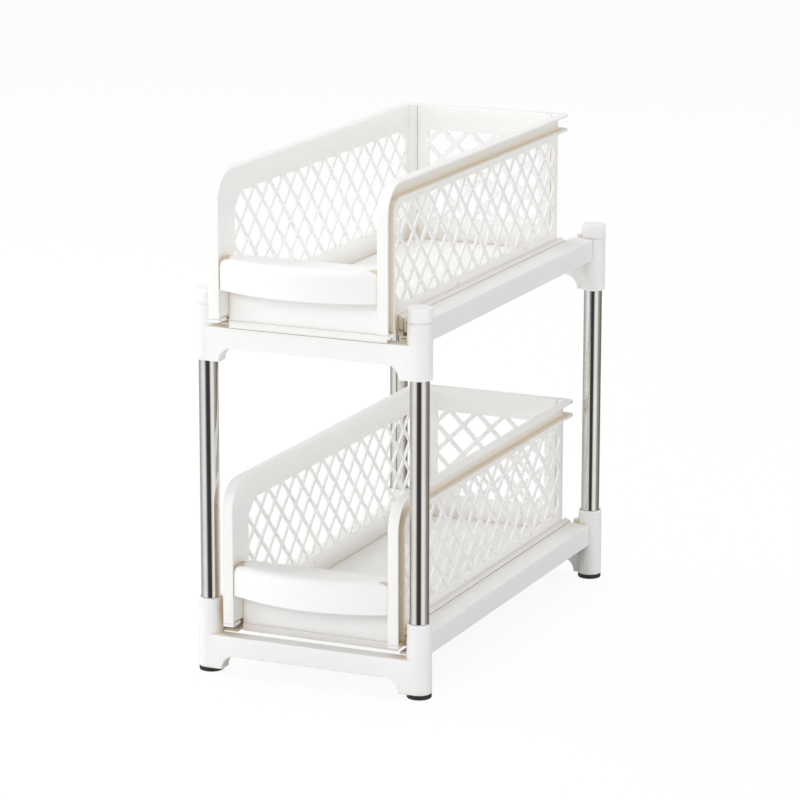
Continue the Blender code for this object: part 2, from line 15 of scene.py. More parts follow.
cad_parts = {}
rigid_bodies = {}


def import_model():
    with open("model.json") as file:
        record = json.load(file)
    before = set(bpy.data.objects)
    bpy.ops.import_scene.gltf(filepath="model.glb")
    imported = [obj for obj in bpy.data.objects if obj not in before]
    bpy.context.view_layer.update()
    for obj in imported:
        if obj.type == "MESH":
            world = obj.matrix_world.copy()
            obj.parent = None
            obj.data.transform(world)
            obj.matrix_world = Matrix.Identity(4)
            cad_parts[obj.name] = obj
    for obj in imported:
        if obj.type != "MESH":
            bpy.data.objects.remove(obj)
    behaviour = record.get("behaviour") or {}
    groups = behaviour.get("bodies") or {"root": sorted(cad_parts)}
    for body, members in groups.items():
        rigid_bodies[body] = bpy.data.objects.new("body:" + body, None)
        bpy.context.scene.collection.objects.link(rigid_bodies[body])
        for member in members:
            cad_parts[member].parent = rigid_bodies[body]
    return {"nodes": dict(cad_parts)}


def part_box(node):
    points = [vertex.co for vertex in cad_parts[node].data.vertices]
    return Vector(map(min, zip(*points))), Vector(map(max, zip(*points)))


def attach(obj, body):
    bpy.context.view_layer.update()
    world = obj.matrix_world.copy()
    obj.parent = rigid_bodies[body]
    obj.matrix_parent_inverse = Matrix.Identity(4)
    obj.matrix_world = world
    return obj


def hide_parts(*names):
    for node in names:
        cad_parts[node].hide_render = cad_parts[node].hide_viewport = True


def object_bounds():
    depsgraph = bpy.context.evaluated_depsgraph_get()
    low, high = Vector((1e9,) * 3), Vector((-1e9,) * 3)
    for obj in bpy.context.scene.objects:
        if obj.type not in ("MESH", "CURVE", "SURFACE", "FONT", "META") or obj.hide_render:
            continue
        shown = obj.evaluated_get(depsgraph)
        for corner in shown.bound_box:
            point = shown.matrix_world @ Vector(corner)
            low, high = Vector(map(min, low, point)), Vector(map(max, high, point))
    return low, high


for item in list(bpy.data.objects):
    bpy.data.objects.remove(item, do_unlink=True)
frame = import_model()
solid_low, solid_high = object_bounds()
scene = bpy.context.scene

# Places read from the solids
levels = ("lower", "upper")
shelf_z = {level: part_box(level + "_front_frame")[0].z for level in levels}
basket_y = {level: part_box(level + "_basket_right_side")[0].y for level in levels}
pole_low, pole_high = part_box("pole_front_right")
rear_pole_low, rear_pole_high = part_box("pole_rear_right")
side_low, side_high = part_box("lower_basket_right_side")
floor_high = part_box("lower_basket_floor")[1]
front_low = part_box("lower_basket_front")[0]
frame_low, frame_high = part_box("lower_front_frame")
upper_low, upper_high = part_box("upper_front_frame")
foot_low, foot_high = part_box("foot_front_right")
rail_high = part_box("lower_right_rail")[1]

# Poles, sockets, caps and feet
pole_radius = (pole_high.x - pole_low.x) / 2
pole_x = (pole_high.x + pole_low.x) / 2
front_pole_y = (pole_high.y + pole_low.y) / 2
rear_pole_y = (rear_pole_low.y + rear_pole_high.y) / 2
rack_middle_y = (front_pole_y + rear_pole_y) / 2
pole_wall = 0.0008
pole_edge = pole_wall / 3
seat_gap = 0.0003
bore_radius = pole_radius + seat_gap
socket_radius = frame_high.x - pole_x
socket_ring_height = upper_high.z - upper_low.z
socket_length = frame_high.z - frame_low.z
socket_floor = 0.01
socket_roof = 0.0046
socket_ring_step = 0.00025
socket_edge_radius = 0.0012
socket_foot_radius = 0.0009
cap_edge_radius = 0.0016
cap_seam = 0.00006
cap_peg_radius = 0.0047
cap_peg_length = 0.0085
cap_foot_radius = 0.0001
foot_height = frame_low.z
foot_radius = (foot_high.x - foot_low.x) / 2
foot_edge_radius = 0.0011
foot_peg_radius = 0.0037
foot_peg_length = 0.006

# Beams, tenons, lugs and rails
beam_outer_y = rack_middle_y - frame_low.y
beam_depth = 0.014
beam_top = 0.0288
beam_wall = 0.002
beam_edge = 0.0009
arch_height = 0.012
arch_foot_gap = 0.00365
arch_foot_x = pole_x - socket_radius - arch_foot_gap
arch_top_x = arch_foot_x - arch_height
tenon_length = 0.012
tenon_width = 0.0085
tenon_low = 0.0303
tenon_high = 0.0443
tenon_outer_x = rail_high.x - beam_wall - seat_gap
lug_inner = 0.0787
lug_outer = 0.085
lug_reach = 0.003
lug_bottom = 0.0375
lug_top = 0.049
rail_edge = 0.0006

# Baskets
return_width = 0.0058
return_inner_x = side_low.x
wall_inner = return_inner_x + return_width
wall = 0.002
wall_middle = wall_inner + wall / 2
wall_edge = 0.00035
rim_outer_x = side_high.x
rim_top = side_high.z - shelf_z["lower"]
rim_back_y = side_high.y - side_low.y
panel_seat = side_low.z - shelf_z["lower"]
rim_back_reach = 0.006
back_outer_y = rim_back_y - rim_back_reach
back_inner_y = back_outer_y - wall
rim_thickness = 0.002
rim_step = 0.0125
rim_corner_radius = 0.025
rim_edge = 0.0004
rim_overlap = 0.00003
strip_bottom = 0.0396
back_corner_radius = 0.005
rim_back_corner_radius = 0.008
straight_end = back_inner_y - back_corner_radius

# Lattices, and snap holes at (y, z)
side_window_front = 0.0287
side_window_back = 0.3745
side_window_bottom = 0.0555
side_window_drop = 0.0196
side_window_top = rim_top - side_window_drop
side_window_end = 0.3703
side_cells_along = 13
side_cells_up = 3
side_rib = 0.003
back_window_half = 0.054
back_window_bottom = 0.0575
back_window_drop = 0.0197
back_window_top = rim_top - back_window_drop
back_cells_across = 4
back_cells_up = 3
back_rib = 0.0036
hole_corner_radius = 0.0009
snap_width = 0.003
snap_height = 0.0018
snap_places = ((0.1555, 0.0503), (0.302, 0.0532))

# Front panel and its hooded handle
panel_half_gap = 0.00005
panel_half = wall_inner - panel_half_gap
panel_front = 0.0185
panel_back = panel_front + wall
panel_bottom = 0.0355
panel_top = 0.0886
handle_bottom = 0.0639
handle_top = 0.0899
handle_end_y = 0.0014
handle_front = front_low.y - side_low.y
handle_wall = 0.0025
handle_edge_radius = 0.007
handle_corner_radius = 0.0011
handle_arc_points = 41

# Floor tray, with a runner in each rail
tray_half = 0.0758
tray_floor = 0.038
tray_base_top = 0.0372
tray_base_bottom = 0.0362
tray_edge = 0.0003
tray_rim_top = 0.0491
tray_rim_outer_top = 0.0467
tray_rim_gap = 0.0003
tray_rim_depth = 0.0035
tray_wall_gap = 0.00005
tray_side_start = 0.036
lip_half = 0.0696
ear_gap = 0.0002
ear_inner = panel_half + ear_gap
ear_outer = 0.0786
ear_front = 0.0004
ear_back = 0.0152
ear_bottom = 0.0365
ear_top = 0.0393
ear_root_outer = wall_inner + wall
ear_root_front = 0.0135
ear_root_back = 0.0215
ear_root_bottom = 0.035
lip_bottom = beam_top + seat_gap
lip_gap = 0.00012
lip_top = panel_bottom - lip_gap
lip_depth = 0.0038
runner_bottom = 0.0303
runner_top = 0.0323
runner_outer = floor_high.x
runner_end_y = 0.3799
skirt_width = 0.0018
nib_inner = 0.0795
nib_y = 0.2679
nib_depth = 0.004
nib_top = 0.038

# Counts and angles
round_sides = 96
edge_steps = 6
rim_edge_steps = 3
corner_steps = 10
bend_cuts = 8
curve_resolution = 2
bevel_segments = 3
corner_limit = 2.2
merge_distance = 0.000002
sharp_angle = math.radians(38)
flat_angle = math.radians(0.5)

# Colours and finishes. A noise is (scale, detail), a roughness is its lowest and highest value,
# and a grain is its strength and height.
plastic_light = (0.967, 0.958, 0.935, 1.0)
plastic_warm = (0.957, 0.945, 0.915, 1.0)
# Painted shade: a tan colour that the plastic takes on in corners, crevices and recesses
plastic_painted_shade = (0.80, 0.64, 0.43, 1.0)
plastic_mottle_noise = (28, 4)
plastic_gloss_noise = (160, 3)
plastic_grain_noise = (1700, 2)
plastic_roughness = (0.36, 0.46)
plastic_grain = (0.12, 0.00004)
plastic_refraction = 1.48
plastic_glow_weight = 0.5
plastic_glow_reach = (1.0, 1.0, 1.0)
plastic_glow_scale = 0.003
# Reach, sample count and cut-off of the occlusion that places the painted shade
painted_shade_reach = 0.02
painted_shade_samples = 6
painted_shade_open = 0.68
steel_light = (0.8, 0.79, 0.775, 1.0)
steel_dark = (0.74, 0.725, 0.7, 1.0)
steel_stretch = (1, 1, 0.02)
steel_line_noise = (2600, 3)
steel_haze_noise = (45, 3)
steel_roughness = (0.05, 0.11)
steel_grain = (0.05, 0.00002)
rubber_dark = (0.012, 0.012, 0.013, 1.0)
rubber_light = (0.03, 0.03, 0.03, 1.0)
rubber_grain_noise = (1900, 3)
rubber_dust_noise = (120, 4)
rubber_roughness = (0.42, 0.6)
rubber_grain = (0.3, 0.00006)
noise_low = 0.3
noise_high = 0.7

# Studio
camera_place = (1.24022, -2.80123, 0.93908)
camera_yaw = 0.417
camera_pitch = 0.237
camera_roll = 0.001
camera_lens = 167.66
camera_sensor = 36.0
camera_clip = (0.05, 60)
floor_size = 30.0
floor_tone = 0.85
floor_roughness = 0.9
floor_glow_share = 0.9
floor_glow = 1.02
ambient_level = 0.59
soft_light_from = (0.0, -1.0, 0.0)
soft_light_rise = 0.066
soft_light_color = (0.99, 0.998, 1.01)

# What reflections show of the studio: degrees round the rack from the camera's side, and a colour
white = (1.0, 1.0, 1.0)
studio_panels = ((-180, (0.5, 0.48, 0.45)), (-150, (0.5, 0.48, 0.45)), (-116, (0.5, 0.49, 0.48)),
                 (-97, (0.72, 0.71, 0.7)), (-81, (0.92, 0.92, 0.91)), (-60, white),
                 (-44, (0.8, 0.8, 0.8)), (-30, (0.12, 0.12, 0.12)), (-17, (0.05, 0.05, 0.05)),
                 (12, (0.05, 0.05, 0.05)), (24, (0.75, 0.75, 0.74)), (34, white), (56, white),
                 (72, (0.62, 0.58, 0.53)), (82, (0.36, 0.33, 0.3)), (100, (0.33, 0.3, 0.27)),
                 (116, (0.16, 0.15, 0.14)), (140, (0.2, 0.19, 0.18)), (160, (0.5, 0.48, 0.45)))

# Softboxes, as name, place, width, height and watts
softboxes = (("left_front", (-2.0, -2.1, 0.8), 1.4, 0.6, 7.7),
             ("front", (0.0, -2.6, 1.3), 1.4, 0.6, 13.0),
             ("front_low", (0.0, -2.95, 0.08), 1.6, 0.15, 3.5),
             ("left", (-2.9, -0.3, 1.0), 1.4, 0.8, 7.0),
             ("left_high", (-2.2, 0.2, 2.0), 1.4, 0.8, 22.0),
             ("right", (2.8, 0.8, 0.6), 1.6, 0.8, 10.2),
             ("top", (0.2, 0.2, 2.8), 1.6, 1.6, 14.5))


def link(name, data):
    """A new object in the scene."""
    item = bpy.data.objects.new(name, data)
    scene.collection.objects.link(item)
    return item


def evaluated_mesh(item):
    """A new mesh of an object with its modifiers applied."""
    bpy.context.view_layer.update()
    shown = item.evaluated_get(bpy.context.evaluated_depsgraph_get())
    return bpy.data.meshes.new_from_object(shown)


def combine(target, tool, operation):
    """Join a tool to the target, or cut it out, and remove the tool."""
    modifier = target.modifiers.new("combine", "BOOLEAN")
    modifier.operation = operation
    modifier.solver = "EXACT"
    modifier.object = tool
    mesh = evaluated_mesh(target)
    target.modifiers.clear()
    target.data = mesh
    bpy.data.objects.remove(tool, do_unlink=True)


def join_all(target, tools):
    for tool in tools:
        combine(target, tool, "UNION")
    return target


def cut_all(target, tools):
    for tool in tools:
        combine(target, tool, "DIFFERENCE")
    return target


def arc(center, radius, start, end, steps=edge_steps):
    """Points on an arc, with its angles in degrees."""
    angles = [math.radians(start + (end - start) * step / steps) for step in range(steps + 1)]
    return [(center[0] + radius * math.cos(a), center[1] + radius * math.sin(a)) for a in angles]


def rounded(outline, radius, steps=2):
    """An outline with each of its corners turned into a short curve."""
    made = []
    for index, corner in enumerate(outline):
        here = Vector(corner)
        before = Vector(outline[index - 1]) - here
        after = Vector(outline[(index + 1) % len(outline)]) - here
        reach = min(radius, before.length / corner_limit, after.length / corner_limit)
        start = here + before.normalized() * reach
        end = here + after.normalized() * reach
        for step in range(steps + 1):
            share = step / steps
            point = start * (1 - share) ** 2 + here * 2 * share * (1 - share) + end * share ** 2
            made.append((point.x, point.y))
    return made


def facing_matrix(facing, middle):
    """The turn that lays a flat outline in the plane that faces X, Y or Z."""
    turns = {"X": Matrix(((0, 0, 1, middle), (1, 0, 0, 0), (0, 1, 0, 0), (0, 0, 0, 1))),
             "Y": Matrix(((1, 0, 0, 0), (0, 0, -1, middle), (0, 1, 0, 0), (0, 0, 0, 1))),
             "Z": Matrix.Translation((0, 0, middle))}
    return turns[facing]


def plate(outlines, low, high, facing, edge):
    """A flat outline with thickness and softened edges. The first outline is the outer one."""
    curve = bpy.data.curves.new("plate", "CURVE")
    curve.dimensions = "2D"
    curve.fill_mode = "BOTH"
    curve.extrude = (high - low) / 2 - edge
    curve.bevel_depth = edge
    curve.bevel_resolution = curve_resolution
    curve.offset = -edge
    for outline in outlines:
        spline = curve.splines.new("POLY")
        spline.points.add(len(outline) - 1)
        for point, (across, up) in zip(spline.points, outline):
            point.co = (across, up, 0.0, 1.0)
        spline.use_cyclic_u = True
    item = link("plate", curve)
    mesh = evaluated_mesh(item)
    build = bmesh.new()
    build.from_mesh(mesh)
    bmesh.ops.remove_doubles(build, verts=build.verts, dist=merge_distance)
    bmesh.ops.transform(build, matrix=facing_matrix(facing, (low + high) / 2), verts=build.verts)
    bmesh.ops.recalc_face_normals(build, faces=build.faces)
    build.to_mesh(mesh)
    build.free()
    bpy.data.objects.remove(item, do_unlink=True)
    return link("plate", mesh)


def box(low, high, edge=0.0):
    """A box between two corners, with its edges softened."""
    low = Vector(low)
    high = Vector(high)
    mesh = bpy.data.meshes.new("box")
    build = bmesh.new()
    bmesh.ops.create_cube(build, size=1.0)
    bmesh.ops.scale(build, vec=high - low, verts=build.verts)
    bmesh.ops.translate(build, vec=(low + high) / 2, verts=build.verts)
    if edge > 0:
        bmesh.ops.bevel(build, geom=build.edges[:], offset=edge, segments=bevel_segments,
                        profile=0.5, affect="EDGES")
    build.to_mesh(mesh)
    build.free()
    return link("box", mesh)


def skin(rings, is_ring=False):
    """A closed surface over rings of points that all have the same count."""
    build = bmesh.new()
    rows = [[build.verts.new(point) for point in ring] for ring in rings]
    pairs = list(zip(rows, rows[1:]))
    if is_ring:
        pairs.append((rows[-1], rows[0]))
    for first, second in pairs:
        for index in range(len(first)):
            after = (index + 1) % len(first)
            build.faces.new((first[index], first[after], second[after], second[index]))
    if not is_ring:
        build.faces.new(rows[0][::-1])
        build.faces.new(rows[-1])
    bmesh.ops.remove_doubles(build, verts=build.verts, dist=merge_distance)
    bmesh.ops.recalc_face_normals(build, faces=build.faces)
    mesh = bpy.data.meshes.new("skin")
    build.to_mesh(mesh)
    build.free()
    return link("skin", mesh)


def turned(profile, center=(0.0, 0.0), is_ring=False):
    """Turn (radius, height) points about an upright axis.

    Unless it is a ring, the first and the last point lie on the axis, where a flat face ends it.
    """
    angles = [2 * math.pi * step / round_sides for step in range(round_sides)]
    rings = [[(center[0] + radius * math.cos(angle), center[1] + radius * math.sin(angle), height)
              for angle in angles] for radius, height in (profile if is_ring else profile[1:-1])]
    return skin(rings, is_ring)


def settled(item):
    """Smooth an object's mesh where it isn't flat, remove the object and return the mesh."""
    item.data.shade_smooth()
    item.data.set_sharp_from_angle(angle=sharp_angle)
    weigh = item.modifiers.new("weigh", "WEIGHTED_NORMAL")
    weigh.keep_sharp = True
    mesh = evaluated_mesh(item)
    bpy.data.objects.remove(item, do_unlink=True)
    return mesh


def mirrored(mesh, axis):
    """A copy of a mesh, mirrored about the origin across X or Y."""
    copy = mesh.copy()
    signs = {"X": (-1, 1, 1), "Y": (1, -1, 1)}[axis]
    copy.transform(Matrix.Diagonal((*signs, 1)))
    copy.flip_normals()
    return settled(link("mirrored", copy))


def feed(links, socket, value):
    """Give a socket a number or a colour, or link another node's output to it."""
    if isinstance(value, bpy.types.NodeSocket):
        links.new(value, socket)
    else:
        socket.default_value = value


def noise(nodes, links, coordinates, scale, detail):
    texture = nodes.new("ShaderNodeTexNoise")
    texture.inputs["Scale"].default_value = scale
    texture.inputs["Detail"].default_value = detail
    links.new(coordinates, texture.inputs["Vector"])
    return texture.outputs["Fac"]


def map_range(nodes, links, source, start, end, low, high):
    """A number that runs from low to high as the source runs from start to end."""
    node = nodes.new("ShaderNodeMapRange")
    for name, value in (("Value", source), ("From Min", start), ("From Max", end),
                        ("To Min", low), ("To Max", high)):
        feed(links, node.inputs[name], value)
    return node.outputs["Result"]


def from_noise(nodes, links, source, low, high):
    """Stretch a noise value to a range."""
    return map_range(nodes, links, source, noise_low, noise_high, low, high)


def mix_color(nodes, links, factor, first, second):
    """A colour that runs from the first to the second one as the factor runs from 0 to 1."""
    mix = nodes.new("ShaderNodeMix")
    mix.data_type = "RGBA"
    for name, value in (("Factor", factor), ("A", first), ("B", second)):
        feed(links, mix.inputs[name], value)
    return mix.outputs["Result"]


def calculate(nodes, links, operation, first, second):
    node = nodes.new("ShaderNodeMath")
    node.operation = operation
    feed(links, node.inputs[0], first)
    feed(links, node.inputs[1], second)
    return node.outputs[0]


def blank_material(name):
    """A new material, with what is needed to add to it."""
    material = bpy.data.materials.new(name)
    material.use_nodes = True
    nodes = material.node_tree.nodes
    links = material.node_tree.links
    shader = nodes["Principled BSDF"]
    coordinates = nodes.new("ShaderNodeTexCoord").outputs["Object"]
    return material, nodes, links, shader, coordinates


def add_bump(nodes, links, source, strength, distance, shader):
    bump = nodes.new("ShaderNodeBump")
    bump.inputs["Strength"].default_value = strength
    bump.inputs["Distance"].default_value = distance
    links.new(source, bump.inputs["Height"])
    links.new(bump.outputs["Normal"], shader.inputs["Normal"])


def make_plastic():
    """Satin white moulded plastic, a little translucent, with fine grain and tan painted shade in
    its crevices and corners.
    """
    material, nodes, links, shader, coordinates = blank_material("white_plastic_look")
    mottle = from_noise(nodes, links, noise(nodes, links, coordinates, *plastic_mottle_noise), 0, 1)
    gloss = noise(nodes, links, coordinates, *plastic_gloss_noise)
    grain = noise(nodes, links, coordinates, *plastic_grain_noise)
    # Painted shade: the colour turns tan where ambient occlusion finds corners and crevices close
    # by
    occlusion = nodes.new("ShaderNodeAmbientOcclusion")
    occlusion.samples = painted_shade_samples
    occlusion.inputs["Distance"].default_value = painted_shade_reach
    unshaded_share = map_range(nodes, links, occlusion.outputs["AO"], 0, painted_shade_open, 0, 1)
    open_color = mix_color(nodes, links, mottle, plastic_light, plastic_warm)
    color = mix_color(nodes, links, unshaded_share, plastic_painted_shade, open_color)
    links.new(color, shader.inputs["Base Color"])
    links.new(from_noise(nodes, links, gloss, *plastic_roughness), shader.inputs["Roughness"])
    shader.inputs["IOR"].default_value = plastic_refraction
    shader.inputs["Subsurface Weight"].default_value = plastic_glow_weight
    shader.inputs["Subsurface Radius"].default_value = plastic_glow_reach
    shader.inputs["Subsurface Scale"].default_value = plastic_glow_scale
    add_bump(nodes, links, grain, *plastic_grain, shader)
    return material


def make_steel():
    """Polished stainless tube with fine drawing lines along its length."""
    material, nodes, links, shader, coordinates = blank_material("polished_steel_look")
    stretch = nodes.new("ShaderNodeMapping")
    stretch.inputs["Scale"].default_value = steel_stretch
    links.new(coordinates, stretch.inputs["Vector"])
    lines = noise(nodes, links, stretch.outputs["Vector"], *steel_line_noise)
    haze = from_noise(nodes, links, noise(nodes, links, coordinates, *steel_haze_noise), 0, 1)
    links.new(mix_color(nodes, links, haze, steel_light, steel_dark), shader.inputs["Base Color"])
    links.new(from_noise(nodes, links, lines, *steel_roughness), shader.inputs["Roughness"])
    shader.inputs["Metallic"].default_value = 1.0
    add_bump(nodes, links, lines, *steel_grain, shader)
    return material


def make_rubber():
    """Black rubber with a matt, slightly grained skin."""
    material, nodes, links, shader, coordinates = blank_material("black_rubber_look")
    grain = noise(nodes, links, coordinates, *rubber_grain_noise)
    dust = noise(nodes, links, coordinates, *rubber_dust_noise)
    color = mix_color(nodes, links, from_noise(nodes, links, dust, 0, 1), rubber_dark, rubber_light)
    links.new(color, shader.inputs["Base Color"])
    links.new(from_noise(nodes, links, dust, *rubber_roughness), shader.inputs["Roughness"])
    add_bump(nodes, links, grain, *rubber_grain, shader)
    return material


slots = {"white_plastic": make_plastic(), "polished_steel": make_steel(),
         "black_rubber": make_rubber()}


def place(mesh, name, location, slot, body, node):
    """Show a mesh as the look of one node, on the node's body."""
    piece = link(name, mesh)
    piece.location = location
    mesh.materials.clear()
    mesh.materials.append(slots[slot])
    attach(piece, body)
    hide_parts(node)


def make_pole_mesh():
    """A thin tube with its edges broken at both ends."""
    low = pole_low.z
    high = pole_high.z
    inner = pole_radius - pole_wall
    edge = pole_edge
    profile = [(inner + edge, high), (pole_radius - edge, high), (pole_radius, high - edge),
               (pole_radius, low + edge), (pole_radius - edge, low), (inner + edge, low),
               (inner, low + edge), (inner, high - edge)]
    return settled(turned(profile, is_ring=True))


def make_foot_mesh():
    """A rubber disc with a rounded lower edge, and its peg."""
    disc_top = foot_height - seat_gap
    peg_top = foot_height + foot_peg_length
    upper_edge = foot_edge_radius / 2
    profile = [(0.0, peg_top), (foot_peg_radius, peg_top), (foot_peg_radius, disc_top)]
    profile += arc((foot_radius - upper_edge, disc_top - upper_edge), upper_edge, 90, 0)
    profile += arc((foot_radius - foot_edge_radius, foot_edge_radius), foot_edge_radius, 0, -90)
    return settled(turned(profile + [(0.0, 0.0)]))


def make_cap_mesh():
    """A round-edged cap with its peg."""
    top = socket_length
    bottom = socket_ring_height + cap_seam
    foot = cap_foot_radius
    peg_bottom = bottom - cap_peg_length
    profile = [(0.0, top)]
    profile += arc((socket_radius - cap_edge_radius, top - cap_edge_radius), cap_edge_radius, 90, 0)
    profile += arc((socket_radius - foot, bottom + foot), foot, 0, -90)
    profile += [(cap_peg_radius, bottom), (cap_peg_radius, peg_bottom), (0.0, peg_bottom)]
    return settled(turned(profile))


def make_socket(level, x, y):
    """A socket with its bore, open below on the upper shelf and above on the lower one."""
    foot = socket_foot_radius
    foot_edge = arc((socket_radius - foot, foot), foot, 0, -90)
    if level == "upper":
        hole = cap_peg_radius + seat_gap
        roof = socket_ring_height - socket_roof
        rim = cap_foot_radius
        profile = [(hole, socket_ring_height)]
        profile += arc((socket_radius - rim, socket_ring_height - rim), rim, 90, 0)
        profile += foot_edge + [(bore_radius, 0.0), (bore_radius, roof), (hole, roof)]
        return turned(profile, (x, y), is_ring=True)
    hole = foot_peg_radius + seat_gap
    hole_top = foot_peg_length + seat_gap
    mouth = socket_radius - socket_ring_step
    edge = socket_edge_radius
    profile = [(0.0, socket_floor), (bore_radius, socket_floor), (bore_radius, socket_length)]
    profile += arc((mouth - edge, socket_length - edge), edge, 90, 0)
    profile += [(mouth, socket_ring_height + socket_ring_step), (socket_radius, socket_ring_height)]
    profile += foot_edge + [(hole, 0.0), (hole, hole_top), (0.0, hole_top)]
    return turned(profile, (x, y))


def make_end_frame_mesh(level, has_lugs):
    """The front moulding of a shelf: an arched beam, open underneath, between two sockets.

    Each socket has a tenon for its rail and may have a small lug at its inner side.
    """
    pole_back = front_pole_y - rack_middle_y
    end_x = pole_x - beam_wall
    left = arc((-arch_top_x, 0.0), arch_height, 180, 90, corner_steps)
    right = arc((arch_top_x, 0.0), arch_height, 90, 0, corner_steps)
    outline = [(-end_x, beam_top), (-end_x, 0.0)] + left + right
    outline += [(end_x, 0.0), (end_x, beam_top)]
    beam_front = -beam_outer_y
    beam_back = beam_depth - beam_outer_y
    beam = plate([outline], beam_front, beam_back, "Y", beam_edge)
    pocket_low = (-arch_top_x + beam_wall, beam_front + beam_wall, -beam_wall)
    pocket_high = (arch_top_x - beam_wall, beam_back - beam_wall, beam_top - beam_wall)
    cut_all(beam, [box(pocket_low, pocket_high)])
    tenon_end = pole_back + socket_radius + tenon_length
    core_radius = bore_radius + pole_wall
    core_profile = [(0.0, socket_length), (core_radius, socket_length),
                    (core_radius, -beam_wall), (0.0, -beam_wall)]
    for side in (-1, 1):
        inner, outer = sorted((side * tenon_outer_x, side * (tenon_outer_x - tenon_width)))
        join_all(beam, [box((inner, pole_back, tenon_low),
                            (outer, tenon_end, tenon_high), pole_wall)])
        if has_lugs:
            inner, outer = sorted((side * lug_inner, side * lug_outer))
            join_all(beam, [box((inner, pole_back - lug_reach, lug_bottom),
                                (outer, pole_back + lug_reach, lug_top), pole_wall)])
        cut_all(beam, [turned(core_profile, (side * pole_x, pole_back))])
        join_all(beam, [make_socket(level, side * pole_x, pole_back)])
    return settled(beam)


def build_stand():
    """Feet, poles and caps at the four corners, and the end frames of both shelves."""
    pole_mesh = make_pole_mesh()
    foot_mesh = make_foot_mesh()
    cap_mesh = make_cap_mesh()
    for x_name, x in (("left", -pole_x), ("right", pole_x)):
        for y_name, y in (("front", front_pole_y), ("rear", rear_pole_y)):
            corner = y_name + "_" + x_name
            place(pole_mesh, "pole_tube_" + corner, (x, y, 0),
                  "polished_steel", "stand", "pole_" + corner)
            place(foot_mesh, "foot_pad_" + corner, (x, y, 0),
                  "black_rubber", "stand", "foot_" + corner)
            place(cap_mesh, "cap_lid_" + corner, (x, y, shelf_z["upper"]),
                  "white_plastic", "stand", "cap_" + corner)
    for level in levels:
        front = make_end_frame_mesh(level, False)
        rear = mirrored(make_end_frame_mesh(level, True), "Y")
        at = (0, rack_middle_y, shelf_z[level])
        for name, mesh in (("front", front), ("rear", rear)):
            place(mesh, level + "_" + name + "_moulding", at,
                  "white_plastic", "stand", level + "_" + name + "_frame")


def soften(node, width):
    """Soften the edges of a flat-faced node that is shown as it is, and give it its finish."""
    item = frame["nodes"][node]
    weld = item.modifiers.new("weld", "WELD")
    weld.merge_threshold = merge_distance
    flat = item.modifiers.new("flat", "DECIMATE")
    flat.decimate_type = "DISSOLVE"
    flat.angle_limit = flat_angle
    bevel = item.modifiers.new("bevel", "BEVEL")
    bevel.width = width
    bevel.segments = bevel_segments
    bevel.limit_method = "ANGLE"
    bevel.angle_limit = sharp_angle
    weigh = item.modifiers.new("weigh", "WEIGHTED_NORMAL")
    weigh.keep_sharp = True
    item.data.shade_smooth()
    item.data.materials.clear()
    item.data.materials.append(slots["white_plastic"])


def diamond(center, half_across, half_up):
    """The four corners of one lattice hole."""
    across, up = center
    return [(across - half_across, up), (across, up - half_up),
            (across + half_across, up), (across, up + half_up)]


def clip(outline, index, limit, keep_below):
    """Trim a convex outline at a straight limit along one of its two directions."""
    kept = []
    sign = 1 if keep_below else -1
    for current, following in zip(outline, outline[1:] + outline[:1]):
        current_room = sign * (limit - current[index])
        following_room = sign * (limit - following[index])
        if current_room >= 0:
            kept.append(current)
        if current_room * following_room < 0:
            share = current_room / (current_room - following_room)
            kept.append(tuple(a + (b - a) * share for a, b in zip(current, following)))
    return kept


def lattice_holes(left, right, bottom, top, count_across, count_up, rib, end, has_corners):
    """The holes between crossing diagonal ribs, clipped to their window, with soft corners."""
    cell_across = (right - left) / count_across
    cell_up = (top - bottom) / count_up
    slope = math.hypot(cell_across, cell_up)
    half_across = cell_across / 2 - rib * slope / (2 * cell_up)
    half_up = cell_up / 2 - rib * slope / (2 * cell_across)
    holes = []
    for row in range(2 * count_up + 1):
        for column in range(2 * count_across + 1):
            is_corner = row in (0, 2 * count_up) and column in (0, 2 * count_across)
            if (row + column) % 2 == 1 or (is_corner and not has_corners):
                continue
            center = (left + column * cell_across / 2, bottom + row * cell_up / 2)
            hole = clip(diamond(center, half_across, half_up), 0, left + rib / 2, False)
            hole = clip(clip(hole, 0, end, True), 1, bottom + rib / 2, False)
            holes.append(rounded(clip(hole, 1, top - rib / 2, True), hole_corner_radius))
    return holes


def front_path(inset):
    """The front and top edge of a side panel, from the foot of the strip to the straight's end."""
    center = (rim_corner_radius, rim_top - rim_corner_radius)
    bend = arc(center, rim_corner_radius - inset, 180, 90, corner_steps * 2)
    return [(inset, strip_bottom)] + bend + [(straight_end, rim_top - inset)]


def rim_section(inner, outer, down, has_inner_edge):
    """One ring round a rim, from its inner side to its rounded outer edge."""
    across = outer - inner
    width = across.length
    along = across.normalized()
    edge = rim_edge
    points = [(0.0, rim_thickness)]
    points += arc((width - edge, rim_thickness - edge), edge, 90, 0, rim_edge_steps)
    points += arc((width - edge, edge), edge, 0, -90, rim_edge_steps)
    if has_inner_edge:
        points += arc((edge, edge), edge, -90, -180, rim_edge_steps)
    else:
        points.append((0.0, 0.0))
    return [inner + along * u + down * v for u, v in points]


